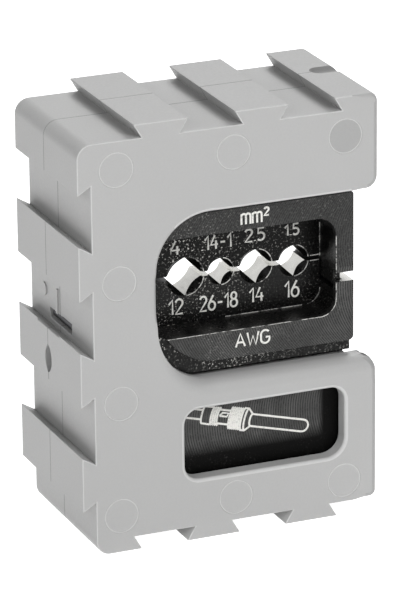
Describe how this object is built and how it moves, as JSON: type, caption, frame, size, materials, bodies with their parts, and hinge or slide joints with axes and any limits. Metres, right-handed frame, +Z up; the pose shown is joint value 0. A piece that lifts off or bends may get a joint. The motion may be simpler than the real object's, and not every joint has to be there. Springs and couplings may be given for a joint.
{
  "type": "crimp die insert",
  "caption": "Moulded magazine with dovetail rails on its edges, open at one side, holding nested slide-out crimping dies with diamond nests for turned contacts.",
  "frame": {"origin": "middle of the foot, at the height of the lower rail tips", "axes": "+X to the magazine's open side, where the dies slide out; +Y from the front plate to the back plate; +Z up"},
  "size_m": [0.048, 0.0256, 0.0664],
  "materials": {
    "case_plastic": "fine spark-eroded grain",
    "black_steel": "black oxide over milled steel, oiled",
    "bright_steel": "ground",
    "plunger_steel": "turned, blackened",
    "spring_steel": "drawn wire and strip",
    "ball_steel": "polished"
  },
  "bodies": {
    "magazine": {"front_shell": "case_plastic", "rear_shell": "case_plastic", "retaining_clip": "spring_steel"},
    "lower_die_set": {"lower_die": "black_steel", "lower_dowel_left": "bright_steel", "lower_dowel_right": "bright_steel", "lower_plunger_body": "plunger_steel", "lower_plunger_spring": "spring_steel"},
    "lower_ball": {"lower_plunger_ball": "ball_steel"},
    "upper_die_set": {"upper_die": "black_steel", "upper_dowel_left": "bright_steel", "upper_dowel_right": "bright_steel", "upper_plunger_body": "plunger_steel", "upper_plunger_spring": "spring_steel"},
    "upper_ball": {"upper_plunger_ball": "ball_steel"}
  },
  "joints": [
    {"name": "lower_die_slide", "type": "slide", "parent": "magazine", "child": "lower_die_set", "axis": [1, 0, 0], "range_m": [0, 0.03]},
    {"name": "lower_ball_press", "type": "slide", "parent": "lower_die_set", "child": "lower_ball", "axis": [0, -1, 0], "range_m": [0, 0.0007], "stiffness_N_per_m": 3000, "springref_m": -0.0015, "deforming": ["lower_plunger_spring"]},
    {"name": "upper_die_slide", "type": "slide", "parent": "magazine", "child": "upper_die_set", "axis": [1, 0, 0], "range_m": [0, 0.03]},
    {"name": "upper_ball_press", "type": "slide", "parent": "upper_die_set", "child": "upper_ball", "axis": [0, -1, 0], "range_m": [0, 0.0007], "stiffness_N_per_m": 3000, "springref_m": -0.0015, "deforming": ["upper_plunger_spring"]}
  ],
  "couplings": [
    {"joint": "upper_die_slide", "follows": "lower_die_slide", "ratio": 1}
  ]
}
